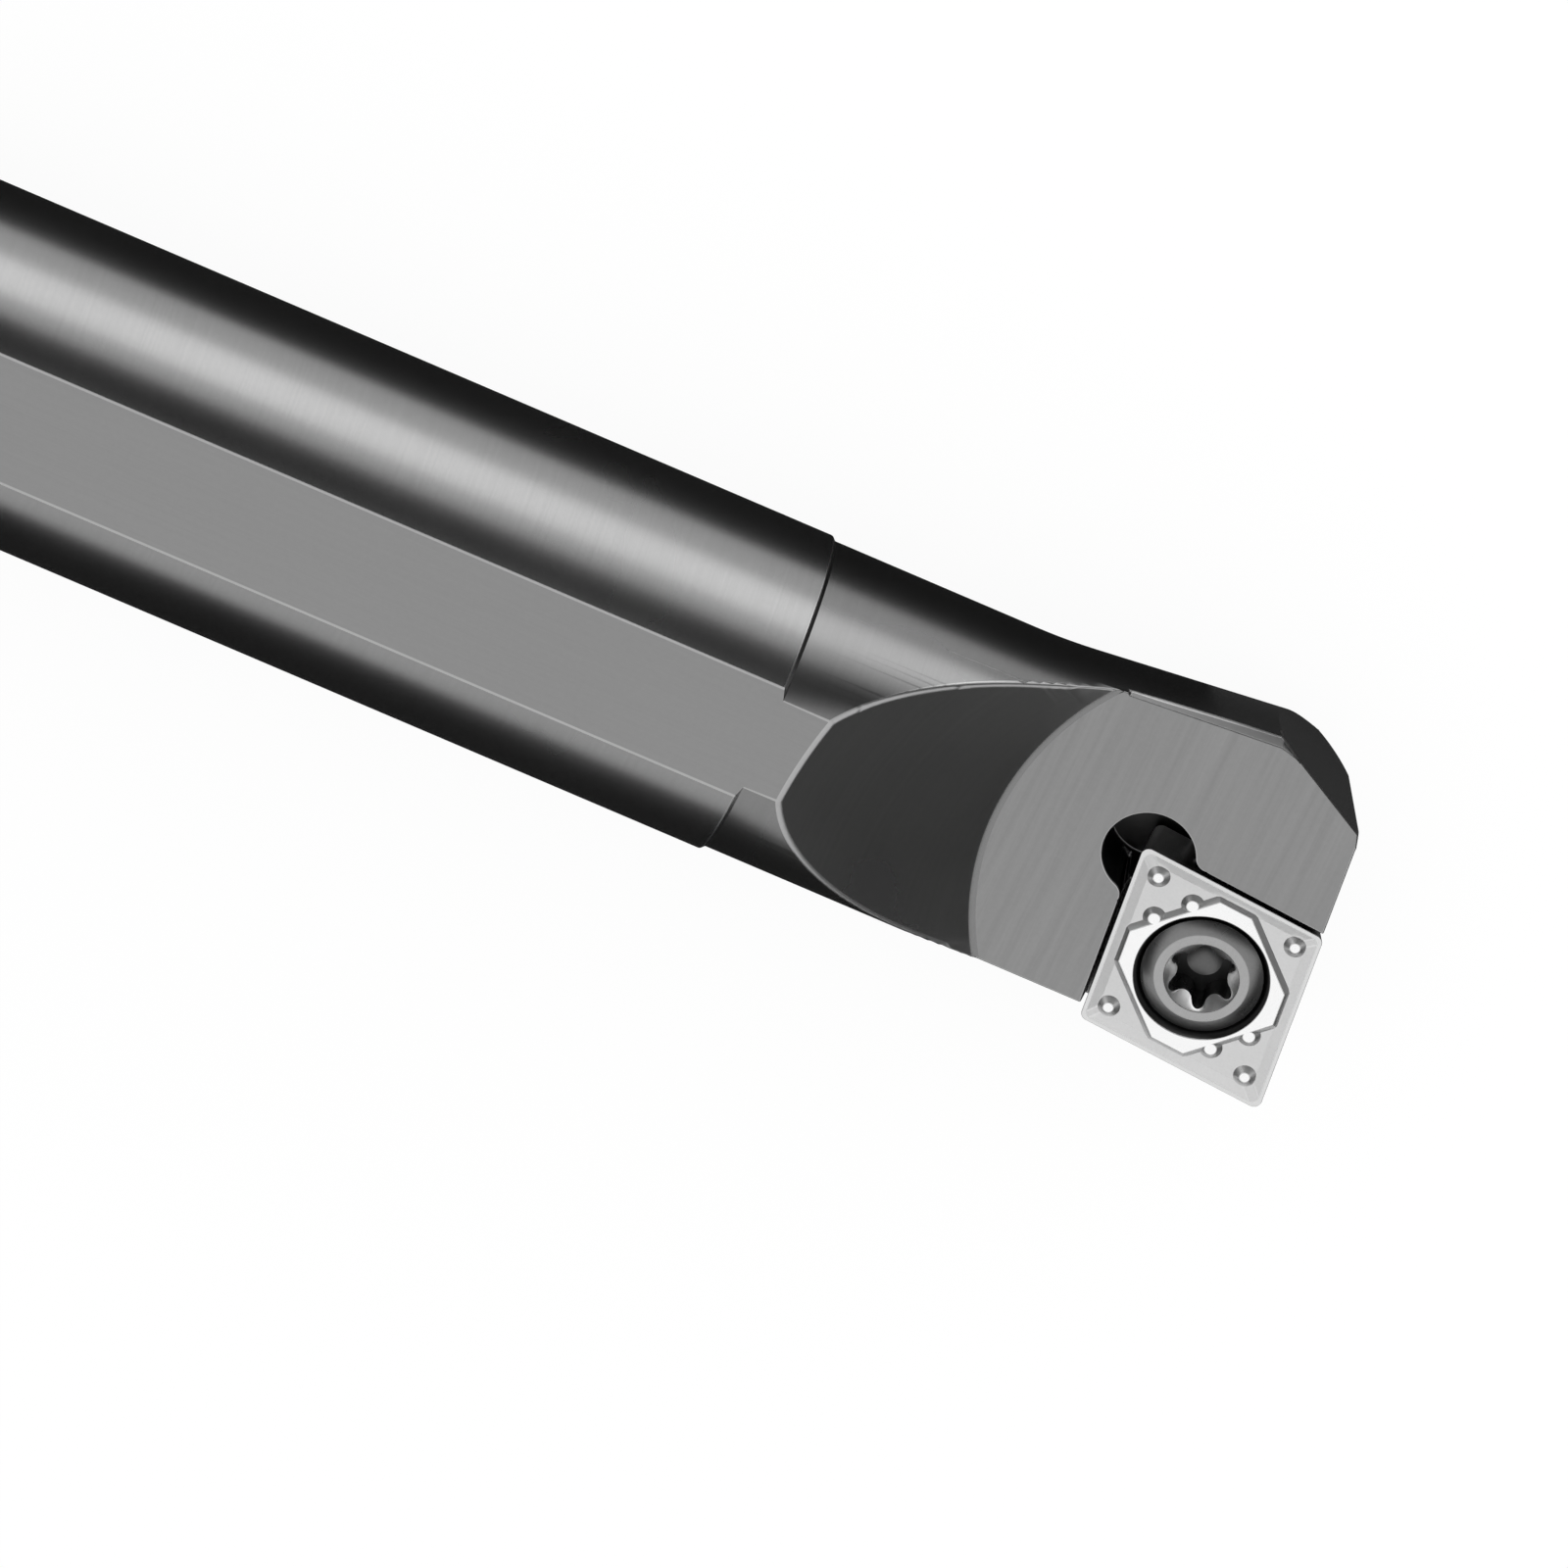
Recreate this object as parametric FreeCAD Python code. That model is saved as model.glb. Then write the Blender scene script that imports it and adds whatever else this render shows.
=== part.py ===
import FreeCAD, Part

import math
import os

from FreeCAD import Placement, Rotation, Vector

# Boring bar with a screw-clamped insert.
# X runs along the bar from the rear end to the tip, Z is up, the nose points to -Y.
# The origin is the centre of the rear end face. Millimetres and degrees.

# Bar
overall_length = 180.0          # rear end face to the insert's nose
shank_diameter = 16.0
flat_height = 14.9              # across the two milled flats
rear_chamfer = 1.0
neck_diameter = 15.6
head_length = 29.6              # neck step to the nose

# Head outside
flare_length = 17.5             # start of the flare to the nose
flare_angle = 5.8
back_corner_radius = 4.9        # rounding of the corner opposite the nose
back_corner_setback = 6.1       # its centre to the nose, along the bar
back_corner_axis = 3.0          # the rounding is turned about a line this far to the nose side
front_setback = 0.1             # front face behind the cutting edge
front_relief_angle = 8.0

# Face on which chips run, and the gullet behind it
face_roll_angle = 8.0           # the face falls toward the nose by this angle
gullet_slope_angle = 32.2       # of its conical wall, from the horizontal
gullet_radius = 11.7            # of the cone, at the height of the bar's axis
gullet_axis_back = 4.1          # the cone's upright axis to the nose, along the bar
gullet_axis_side = 3.6          # the same, from the bar's axis to the nose side
gullet_blend = 1.2              # concave radius where the wall runs into the face

# Bevel along the outer edge of the face
bevel_slope_angle = 55.0
bevel_drop = 2.2
bevel_start_back = 14.2         # its straight edge starts here, measured from the nose
bevel_start_side = 7.7
bevel_end_back = 6.65
bevel_end_side = 8.32
bevel_arc_radius = 8.5          # round the front corner, centred on the bar's axis
bevel_arc_end_angle = 66.0      # where the arc runs out into the corner's flat cut
corner_cut_angle = 30.4         # flat cut across the front corner, from the bar's axis
corner_cut_back = 5.2           # a point of its line on the chip face, back from the nose
corner_cut_side = 7.85          # and out from the bar's axis
corner_relief_angle = 7.3

# Insert: 80 degree rhombus with relieved flanks
insert_circle = 9.525           # inscribed circle
insert_thickness = 3.97
insert_flank_angle = 7.0
insert_corner_angle = 80.0
nose_radius = 0.4
nose_offset = 9.5               # nose to the bar's axis
edge_lead_angle = 5.0           # both cutting edges lean back by this
insert_bore = 4.4
countersink_diameter = 6.5
countersink_half_angle = 30.0
edge_land = 0.2                 # narrow land along the cutting edge
groove_width = 0.5              # run of the slope behind that land
groove_depth = 0.22
island_edge_gap = 0.81          # edge of the insert to the island's flats
island_long = 3.5               # centre to the island's sides facing the 80 degree corners
island_short = 3.6              # and facing the 100 degree corners
island_draft = 0.16             # run of the island's sloping walls
dome_radius = 0.52
dome_height = 0.24
dome_inset_long = 1.84          # corner to dome centre at the 80 degree corners
dome_inset_short = 1.47         # and at the 100 degree corners
bump_radius = 0.4
bump_height = 0.24
bump_offset = 0.33              # bump centres beyond the island's side
bump_pitch = 2.0

# Pocket
seat_gap = 0.01                 # insert flank to pocket wall where they bear
wall_gap = 0.2                  # the wall stands this far off above the bearing height
bearing_height = 2.3
relief_diameter = 4.4           # drilled clearance at the insert's inner corner
relief_inset = 0.58             # its centre, inward from that corner
relief_depth = 0.5              # below the pocket floor
relief_blend_front = 0.8
relief_blend_rear = 0.8

# Clamping screw
screw_diameter = 4.0
thread_clearance = 0.05
screw_length = 7.9              # top of the head to the point
screw_head_diameter = 5.7
screw_rim_diameter = 4.5        # flat rim on top of the head
screw_proud = 0.05              # rim above the insert's top
screw_bevel_depth = 0.6
screw_seat_gap = 0.02
screw_point = 0.6
socket_across = 3.35            # lobe to lobe
socket_waist = 2.4              # hollow to hollow
socket_depth = 1.3
socket_turn_angle = 46.0
socket_lobe = 0.29              # radius of a lobe's tip
socket_lead_in = 0.14

# Cutting shapes
far = 60.0                      # their reach past the head
overrun = 0.2                   # how far they start outside the surface they cut
touch = 0.001                   # points nearer than this to a surface lie on it


def turned(points):
    """Solid of revolution about the bar's axis from (x, radius) points."""
    wire = Part.makePolygon([Vector(x, r, 0) for x, r in points + points[:1]])
    return Part.Face(wire).revolve(Vector(0, 0, 0), Vector(1, 0, 0), 360)


def block(x0, y0, z0, x1, y1, z1):
    return Part.makeBox(x1 - x0, y1 - y0, z1 - z0, Vector(x0, y0, z0))


def tangent(angle):
    return math.tan(math.radians(angle))


def sine(angle):
    return math.sin(math.radians(angle))


def cosine(angle):
    return math.cos(math.radians(angle))


def direction(angle, length=1.0):
    return Vector(length * cosine(angle), length * sine(angle), 0)


# Values that follow from the driving sizes
shank_radius = shank_diameter / 2
neck_radius = neck_diameter / 2
flat_level = flat_height / 2
neck_start = overall_length - head_length
flare_start = overall_length - flare_length
insert_half = insert_circle / 2
half_corner = insert_corner_angle / 2
long_reach = insert_half / sine(half_corner)
short_reach = insert_half / cosine(half_corner)
nose_angle = edge_lead_angle + half_corner - 90       # direction of the nose from the insert's centre
floor_level = -insert_thickness

# Plane of the insert's top and of the chip face: local x along the bar, local z its normal.
# The foremost point of the rounded nose lies at the bar's full length, the outermost at nose_offset.
nose_centre = direction(nose_angle, long_reach - nose_radius / sine(half_corner))
seat_x = overall_length - nose_radius - nose_centre.x
seat_y = -nose_offset / cosine(face_roll_angle) + nose_radius - nose_centre.y
face_at_axis = nose_offset * tangent(face_roll_angle)
face_frame = Placement(Vector(0, 0, face_at_axis), Rotation(Vector(1, 0, 0), face_roll_angle))
seat_frame = face_frame.multiply(Placement(Vector(seat_x, seat_y, 0), Rotation()))


def in_frame(shape, frame):
    moved = shape.copy()
    moved.Placement = frame.multiply(moved.Placement)
    return moved


def face_height(point):
    """Distance of a point above the plane of the chip face."""
    return face_frame.inverse().multVec(point).z


def rhombus_corner(inscribed, index):
    """Corner of the insert's outline: 0 is the nose, then anticlockwise."""
    reach = inscribed / (sine(half_corner) if index % 2 == 0 else cosine(half_corner))
    return direction(nose_angle + 90 * index, reach)


def rhombus_wire(inscribed, radius, level):
    """Insert outline with rounded corners at one level."""
    edges = []
    ends = []
    for index in range(4):
        corner = rhombus_corner(inscribed, index)
        half = half_corner if index % 2 == 0 else 90 - half_corner
        outward = nose_angle + 90 * index
        centre = corner - direction(outward, radius / sine(half))
        turn = 90 - half
        first = centre + direction(outward - turn, radius)
        middle = centre + direction(outward, radius)
        last = centre + direction(outward + turn, radius)
        edges.append(Part.Arc(first, middle, last).toShape())
        ends.append((first, last))
    for index in range(4):
        edges.insert(2 * index + 1, Part.LineSegment(ends[index][1], ends[(index + 1) % 4][0]).toShape())
    wire = Part.Wire(edges)
    wire.translate(Vector(0, 0, level))
    return wire


def ruled(lower, upper):
    return Part.makeLoft([lower, upper], True, True)


# Bar body

def turned_blank():
    """Shank, neck step and flared head as they come off the lathe."""
    step = shank_radius - neck_radius
    flare_end = neck_radius + flare_length * tangent(flare_angle)
    return turned([
        (0, 0),
        (0, shank_radius - rear_chamfer),
        (rear_chamfer, shank_radius),
        (neck_start, shank_radius),
        (neck_start + step, neck_radius),
        (flare_start, neck_radius),
        (overall_length, flare_end),
        (overall_length, 0),
    ])


def flats():
    """Blocks above and below the two flats, and beside the head on the nose side."""
    top = block(-overrun, -far, flat_level, overall_length + overrun, far, far)
    bottom = block(-overrun, -far, -far, overall_length + overrun, far, -flat_level)
    side = block(neck_start, -far, -far, overall_length + overrun, -shank_radius, far)
    return [top, bottom, side]


def back_corner():
    """Ring that rounds the front corner on the side away from the nose."""
    centre_x = overall_length - back_corner_setback
    flare_here = neck_radius + (centre_x - flare_start) * tangent(flare_angle)
    ring_radius = flare_here - back_corner_radius / cosine(flare_angle)
    middle = Vector(centre_x, ring_radius, 0)
    first = middle + direction(90 + flare_angle, back_corner_radius)
    last = middle + direction(0, back_corner_radius)
    arc = Part.Arc(first, middle + direction(45, back_corner_radius), last).toShape()
    run_out = Vector(overall_length + overrun, ring_radius, 0)
    top_front = Vector(overall_length + overrun, far, 0)
    top_rear = Vector(first.x, far, 0)
    rest = Part.makePolygon([last, run_out, top_front, top_rear, first])
    section = Part.Face(Part.Wire([arc] + rest.Edges))
    ring = section.revolve(Vector(0, -back_corner_axis, 0), Vector(1, 0, 0), 180)
    ring.rotate(Vector(0, -back_corner_axis, 0), Vector(1, 0, 0), -90)
    return ring


def above_face():
    """Everything above the chip face, over the whole head."""
    slab = block(neck_start - far, -far, 0, overall_length + far, far, far)
    return in_frame(slab, face_frame)


def gullet():
    """Upright cone with its foot on the chip face."""
    grow = 1 / tangent(gullet_slope_angle)
    low = -overrun
    high = flat_level + overrun
    cone = Part.makeCone(gullet_radius + low * grow, gullet_radius + high * grow, high - low)
    cone.translate(Vector(overall_length - gullet_axis_back, -gullet_axis_side, low))
    return cone.common(above_face())


def edge_bevel():
    """Sloping band outside the face's outer edge: a straight run, then an arc round the corner."""
    run = bevel_drop / tangent(bevel_slope_angle)
    start = Vector(overall_length - bevel_start_back, bevel_start_side, 0)
    end = Vector(overall_length - bevel_end_back, bevel_end_side, 0)
    lean = math.degrees(math.atan2(end.y - start.y, end.x - start.x))
    centre_x = end.x - math.sqrt(bevel_arc_radius ** 2 - end.y ** 2)
    centre = Vector(centre_x, 0, 0)

    def section(offset, level):
        radius = bevel_arc_radius + offset
        rear = start + direction(lean + 90, offset)
        foot = rear - centre
        along = direction(lean)
        dot = foot.dot(along)
        reach = -dot + math.sqrt(dot ** 2 - foot.dot(foot) + radius ** 2)
        corner = rear + direction(lean, reach)
        turn = math.degrees(math.atan2(corner.y, corner.x - centre.x))
        last = centre + direction(bevel_arc_end_angle, radius)
        middle = centre + direction((turn + bevel_arc_end_angle) / 2, radius)
        arc = Part.Arc(corner, middle, last).toShape()
        rest = Part.makePolygon([
            last,
            last + direction(bevel_arc_end_angle - 90, far),
            Vector(overall_length + far, far, 0),
            Vector(rear.x, far, 0),
            rear,
            corner,
        ])
        wire = Part.Wire([arc] + rest.Edges)
        wire.translate(Vector(0, 0, level))
        return wire

    above = section(-overrun / tangent(bevel_slope_angle), overrun)
    return in_frame(ruled(section(run, -bevel_drop), above), face_frame)


def front_block():
    """Everything in front of the relieved front face."""
    slab = block(0, -far, -far, far, far, far)
    slab.rotate(Vector(0, 0, 0), Vector(0, 1, 0), front_relief_angle)
    slab.translate(Vector(insert_half - front_setback, 0, 0))
    slab.rotate(Vector(0, 0, 0), Vector(0, 0, 1), edge_lead_angle)
    return in_frame(slab, seat_frame)


def corner_block():
    """Everything outside the relieved flat across the front corner."""
    slab = block(0, -far, -far, far, far, far)
    slab.rotate(Vector(0, 0, 0), Vector(0, 1, 0), corner_relief_angle)
    slab.rotate(Vector(0, 0, 0), Vector(0, 0, 1), 90 - corner_cut_angle)
    slab.translate(Vector(overall_length - corner_cut_back, corner_cut_side, 0))
    return in_frame(slab, face_frame)


def pocket_wire(gap, level):
    """Corner of the pocket between its two walls, open to the nose side and the front."""
    inscribed = insert_half + gap + level * tangent(insert_flank_angle)
    corner = rhombus_corner(inscribed, 2)
    along_front = direction(-edge_lead_angle, far)
    along_side = direction(edge_lead_angle - 90, far)
    points = [corner, corner + along_side, corner + along_side + along_front, corner + along_front]
    return Part.makePolygon([p + Vector(0, 0, level) for p in points + points[:1]])


def corner_blend(centre, wall_angle, side, radius):
    """Rounds the edge between the relief hole and one pocket wall, seen from above."""
    wall = rhombus_corner(insert_half + wall_gap, 2)
    along = direction(wall_angle)
    inward = direction(wall_angle + 90 * side)
    to_wall = (wall - centre).dot(inward)
    hole = relief_diameter / 2
    rise = to_wall + radius
    reach = math.sqrt((hole + radius) ** 2 - rise ** 2)
    blend_centre = centre + along * reach + inward * rise
    on_wall = blend_centre - inward * radius
    on_hole = centre + (blend_centre - centre) * (hole / (hole + radius))
    toward = (on_wall + on_hole) / 2 - blend_centre
    middle = blend_centre + toward * (radius / toward.Length)
    arc = Part.Arc(on_wall, middle, on_hole).toShape()
    rest = Part.makePolygon([on_hole, centre, on_wall])
    face = Part.Face(Part.Wire([arc] + rest.Edges))
    face.translate(Vector(0, 0, floor_level))
    return face.extrude(Vector(0, 0, insert_thickness + far))


def pocket():
    """Seat of the insert: floor, two bearing walls, corner relief and screw hole."""
    bearing_top = floor_level + bearing_height
    lower = ruled(pocket_wire(seat_gap, floor_level), pocket_wire(seat_gap, bearing_top + wall_gap))
    upper = ruled(pocket_wire(wall_gap, bearing_top), pocket_wire(wall_gap, flat_height))
    inner_corner = rhombus_corner(insert_half, 2)
    centre = inner_corner - direction(nose_angle + 180, relief_inset)
    relief = Part.makeCylinder(relief_diameter / 2, far, centre + Vector(0, 0, floor_level - relief_depth))
    front_blend = corner_blend(centre, -edge_lead_angle, 1, relief_blend_front)
    rear_blend = corner_blend(centre, edge_lead_angle - 90, -1, relief_blend_rear)
    hole_start = Vector(0, 0, floor_level + overrun - far)
    screw_hole = Part.makeCylinder(screw_diameter / 2 + thread_clearance, far, hole_start)
    tools = [lower, upper, relief, front_blend, rear_blend, screw_hole]
    return [in_frame(tool, seat_frame) for tool in tools]


def blend_gullet_foot(body):
    """Rounds the line where the gullet's wall runs into the chip face."""
    foot = []
    for edge in body.Edges:
        surfaces = [face.Surface for face in body.ancestorsOfType(edge, Part.Face)]
        cones = [surface for surface in surfaces if isinstance(surface, Part.Cone)]
        on_wall = any(math.hypot(cone.Axis.x, cone.Axis.y) < touch for cone in cones)
        on_face = all(abs(face_height(vertex.Point)) < touch for vertex in edge.Vertexes)
        if on_wall and on_face:
            foot.append(edge)
    return body.makeFillet(gullet_blend, foot)


def bar_body():
    body = turned_blank().cut(flats())
    body = body.cut(back_corner())
    body = blend_gullet_foot(body.cut(gullet()))
    body = body.cut(edge_bevel())
    body = body.cut([front_block(), corner_block()])
    return body.cut(pocket())


# Insert

def island():
    """Raised eight-sided land round the screw hole."""
    edge_side = insert_half - island_edge_gap

    def outline(grow, level):
        sides = []
        for index in range(4):
            diagonal = nose_angle + 90 * index
            reach = island_long if index % 2 == 0 else island_short
            half = half_corner if index % 2 == 0 else 90 - half_corner
            sides.append((diagonal, reach + grow))
            sides.append((diagonal + 90 - half, edge_side + grow))
        points = []
        for index in range(8):
            angle_a, reach_a = sides[index]
            angle_b, reach_b = sides[(index + 1) % 8]
            normal_a = direction(angle_a)
            normal_b = direction(angle_b)
            cross = normal_a.x * normal_b.y - normal_a.y * normal_b.x
            x = (reach_a * normal_b.y - reach_b * normal_a.y) / cross
            y = (reach_b * normal_a.x - reach_a * normal_b.x) / cross
            points.append(Vector(x, y, level))
        return Part.makePolygon(points + points[:1])

    return ruled(outline(island_draft, -groove_depth), outline(0, 0))


def dome(place, radius, height):
    """Spherical cap standing on the groove's floor."""
    ball = (radius ** 2 + height ** 2) / (2 * height)
    sphere = Part.makeSphere(ball, place + Vector(0, 0, height - groove_depth - ball))
    keep = Part.makeCylinder(radius, 2 * height, place + Vector(0, 0, -groove_depth - height))
    return sphere.common(keep)


def domes():
    caps = []
    for index in range(4):
        angle = nose_angle + 90 * index
        reach = long_reach - dome_inset_long if index % 2 == 0 else short_reach - dome_inset_short
        caps.append(dome(direction(angle, reach), dome_radius, dome_height))
        if index % 2 == 0:
            for side in (-1, 1):
                along = direction(angle, island_long + bump_offset)
                across = direction(angle + 90, side * bump_pitch / 2)
                caps.append(dome(along + across, bump_radius, bump_height))
    return caps


def insert():
    top = rhombus_wire(insert_half, nose_radius, 0)
    inset = insert_thickness * tangent(insert_flank_angle)
    bottom = rhombus_wire(insert_half - inset, nose_radius, floor_level)
    body = ruled(bottom, top)
    groove_top = rhombus_wire(insert_half - edge_land, nose_radius, 0)
    groove_floor = rhombus_wire(insert_half - edge_land - groove_width, nose_radius, -groove_depth)
    groove = ruled(groove_floor, groove_top).cut(island())
    body = body.cut(groove).fuse(domes())
    bore = Part.makeCylinder(insert_bore / 2, far, Vector(0, 0, -far / 2))
    mouth = countersink_diameter / 2
    sink_depth = (mouth - insert_bore / 2) / tangent(countersink_half_angle)
    wide = mouth + overrun * tangent(countersink_half_angle)
    sink = Part.makeCone(insert_bore / 2, wide, sink_depth + overrun, Vector(0, 0, -sink_depth))
    return in_frame(body.cut([bore, sink]).removeSplitter(), seat_frame)


# Clamping screw

def socket():
    """Six-lobed recess made of alternating convex and concave arcs."""
    tip = socket_across / 2
    hollow = socket_waist / 2
    scoop_reach = (tip - socket_lobe) * cosine(30)
    lateral = (tip - socket_lobe) * sine(30)
    inward = scoop_reach - hollow
    scoop = (inward ** 2 + lateral ** 2 - socket_lobe ** 2) / (2 * (socket_lobe + inward))
    scoop_centre = hollow + scoop
    swing = math.degrees(math.atan2(lateral, scoop_centre - scoop_reach))
    edges = []
    for index in range(6):
        at_lobe = socket_turn_angle + 60 * index
        at_scoop = at_lobe + 30
        centre = direction(at_scoop, scoop_centre)
        first = centre + direction(at_scoop + 180 + swing, scoop)
        last = centre + direction(at_scoop + 180 - swing, scoop)
        lobe_start = direction(at_lobe - 30, scoop_centre) + direction(at_lobe - 30 + 180 - swing, scoop)
        edges.append(Part.Arc(lobe_start, direction(at_lobe, tip), first).toShape())
        edges.append(Part.Arc(first, direction(at_scoop, hollow), last).toShape())
    recess = Part.Face(Part.Wire(edges)).extrude(Vector(0, 0, -socket_depth))
    recess.translate(Vector(0, 0, screw_proud))
    wide = tip + socket_lead_in
    lead_in = Part.makeCone(hollow, wide, wide - hollow, Vector(0, 0, screw_proud - wide + hollow))
    return recess.fuse(lead_in)


def clamp_screw():
    """Countersunk screw: bevelled head, conical seat, plain thread cylinder and point."""
    head = screw_head_diameter / 2
    shaft = screw_diameter / 2
    mouth = countersink_diameter / 2 - screw_seat_gap
    seat_top = -(mouth - head) / tangent(countersink_half_angle)
    seat_end = insert_bore / 2 - thread_clearance
    seat_low = -(mouth - seat_end) / tangent(countersink_half_angle)
    tip_level = screw_proud - screw_length
    profile = [
        (0, screw_proud),
        (screw_rim_diameter / 2, screw_proud),
        (head, screw_proud - screw_bevel_depth),
        (head, seat_top),
        (seat_end, seat_low),
        (shaft, seat_low - (seat_end - shaft)),
        (shaft, tip_level + screw_point),
        (shaft - screw_point, tip_level),
        (0, tip_level),
    ]
    wire = Part.makePolygon([Vector(r, 0, z) for r, z in profile + profile[:1]])
    blank = Part.Face(wire).revolve(Vector(0, 0, 0), Vector(0, 0, 1), 360)
    return in_frame(blank.cut(socket()), seat_frame)


os.makedirs("parts", exist_ok=True)
for name, make in (("bar_body", bar_body), ("insert", insert), ("clamp_screw", clamp_screw)):
    shape = make()
    print(name, "solids", len(shape.Solids), "valid", shape.isValid(), "volume", round(shape.Volume, 2))
    shape.exportStep("parts/%s.step" % name)
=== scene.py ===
import math

import bmesh
import bpy
from mathutils import Matrix, Vector


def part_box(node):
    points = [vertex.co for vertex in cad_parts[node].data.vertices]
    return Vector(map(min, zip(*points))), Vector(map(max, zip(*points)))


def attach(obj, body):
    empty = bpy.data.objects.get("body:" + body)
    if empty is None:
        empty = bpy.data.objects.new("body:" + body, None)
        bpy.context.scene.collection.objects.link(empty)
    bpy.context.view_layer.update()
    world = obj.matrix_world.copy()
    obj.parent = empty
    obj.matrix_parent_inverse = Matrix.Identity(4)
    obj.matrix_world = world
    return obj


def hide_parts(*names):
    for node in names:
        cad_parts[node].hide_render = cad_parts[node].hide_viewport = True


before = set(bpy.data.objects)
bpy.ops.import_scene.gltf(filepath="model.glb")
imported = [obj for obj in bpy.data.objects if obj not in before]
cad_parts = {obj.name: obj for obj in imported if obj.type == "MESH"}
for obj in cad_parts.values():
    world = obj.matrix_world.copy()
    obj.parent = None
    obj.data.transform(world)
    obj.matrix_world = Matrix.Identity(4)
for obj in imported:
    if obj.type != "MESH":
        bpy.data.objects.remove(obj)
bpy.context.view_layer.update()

# Boring bar: shank with two flats, chip gullet, tilted insert and its screw.
# Everything is modelled in millimetres on the CAD frame and scaled to metres when it is done.

mm = 1000.0
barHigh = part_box("bar_body")[1] * mm
insertLow, insertHigh = [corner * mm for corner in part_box("insert")]
noseX = insertHigh.x                       # the insert's nose is the foremost point of the bar
noseY = insertLow.y
flatLevel = barHigh.z
near = 0.01                                # allowance in the tests of place


def degSin(angle):
    return math.sin(math.radians(angle))


def degCos(angle):
    return math.cos(math.radians(angle))


def degTan(angle):
    return math.tan(math.radians(angle))


def heading(angle, length=1.0):
    return Vector((length * degCos(angle), length * degSin(angle), 0))


def angleOf(vector):
    return math.degrees(math.atan2(vector.y, vector.x))


# Modelling helpers

def clearSelection():
    if bpy.context.object and bpy.context.object.mode != "OBJECT":
        bpy.ops.object.mode_set(mode="OBJECT")
    bpy.ops.object.select_all(action="DESELECT")


def pick(piece):
    clearSelection()
    piece.select_set(True)
    bpy.context.view_layer.objects.active = piece


def edit(piece):
    pick(piece)
    bpy.ops.object.mode_set(mode="EDIT")


def leaveEdit():
    bpy.ops.object.mode_set(mode="OBJECT")


def selectWhere(piece, kind, test):
    bpy.ops.mesh.select_mode(type=kind)
    bpy.ops.mesh.select_all(action="DESELECT")
    shape = bmesh.from_edit_mesh(piece.data)
    items = {"VERT": shape.verts, "EDGE": shape.edges, "FACE": shape.faces}[kind]
    chosen = [item for item in items if test(item)]
    for item in chosen:
        item.select_set(True)
    bmesh.update_edit_mesh(piece.data)
    return len(chosen)


def startOutline(name, points):
    clearSelection()
    bpy.ops.mesh.primitive_plane_add(size=1, location=(0, 0, 0))
    piece = bpy.context.object
    piece.name = name
    bpy.ops.object.mode_set(mode="EDIT")
    bpy.ops.mesh.select_mode(type="VERT")
    bpy.ops.mesh.select_all(action="SELECT")
    bpy.ops.mesh.merge(type="CENTER")
    bpy.ops.transform.translate(value=points[0])
    for before, after in zip(points, points[1:]):
        bpy.ops.mesh.extrude_region_move(TRANSFORM_OT_translate={"value": after - before})
    return piece


def turned(name, outline, centre=(0, 0, 0), axis=(1, 0, 0), steps=256):
    piece = startOutline(name, [Vector(point) for point in outline])
    bpy.ops.mesh.select_all(action="SELECT")
    bpy.ops.mesh.spin(steps=steps, angle=2 * math.pi, center=centre, axis=axis, use_auto_merge=True)
    bpy.ops.mesh.select_all(action="SELECT")
    bpy.ops.mesh.remove_doubles(threshold=1e-4)
    bpy.ops.mesh.normals_make_consistent(inside=False)
    leaveEdit()
    return piece


def prism(name, lowPoints, highPoints):
    piece = startOutline(name, lowPoints)
    bpy.ops.mesh.select_all(action="SELECT")
    bpy.ops.mesh.edge_face_add()
    lift = highPoints[0] - lowPoints[0]
    bpy.ops.mesh.extrude_region_move(TRANSFORM_OT_translate={"value": lift})
    for low, high in zip(lowPoints, highPoints):
        if (high - low - lift).length > 1e-6:
            selectWhere(piece, "VERT", lambda v: (v.co - low - lift).length < 1e-4)
            bpy.ops.transform.translate(value=high - low - lift)
    bpy.ops.mesh.select_all(action="SELECT")
    bpy.ops.mesh.normals_make_consistent(inside=False)
    leaveEdit()
    return piece


def slab(name, low, high):
    clearSelection()
    low, high = Vector(low), Vector(high)
    bpy.ops.mesh.primitive_cube_add(size=1, location=(low + high) / 2, scale=high - low)
    bpy.context.object.name = name
    return bpy.context.object


def place(piece, matrix):
    piece.matrix_world = matrix @ piece.matrix_world
    pick(piece)
    bpy.ops.object.transform_apply(location=True, rotation=True, scale=True)
    return piece


def combine(target, tool, operation="DIFFERENCE"):
    pick(target)
    cut = target.modifiers.new("cut", "BOOLEAN")
    cut.operation = operation
    cut.solver = "EXACT"
    cut.object = tool
    bpy.ops.object.modifier_apply(modifier=cut.name)
    bpy.data.objects.remove(tool)


def arcPoints(centre, radius, fromAngle, toAngle, steps):
    turn = (toAngle - fromAngle) / steps
    return [centre + heading(fromAngle + turn * step, radius) for step in range(steps + 1)]


# Bar body, and the insert's sizes because the pocket follows them

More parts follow.
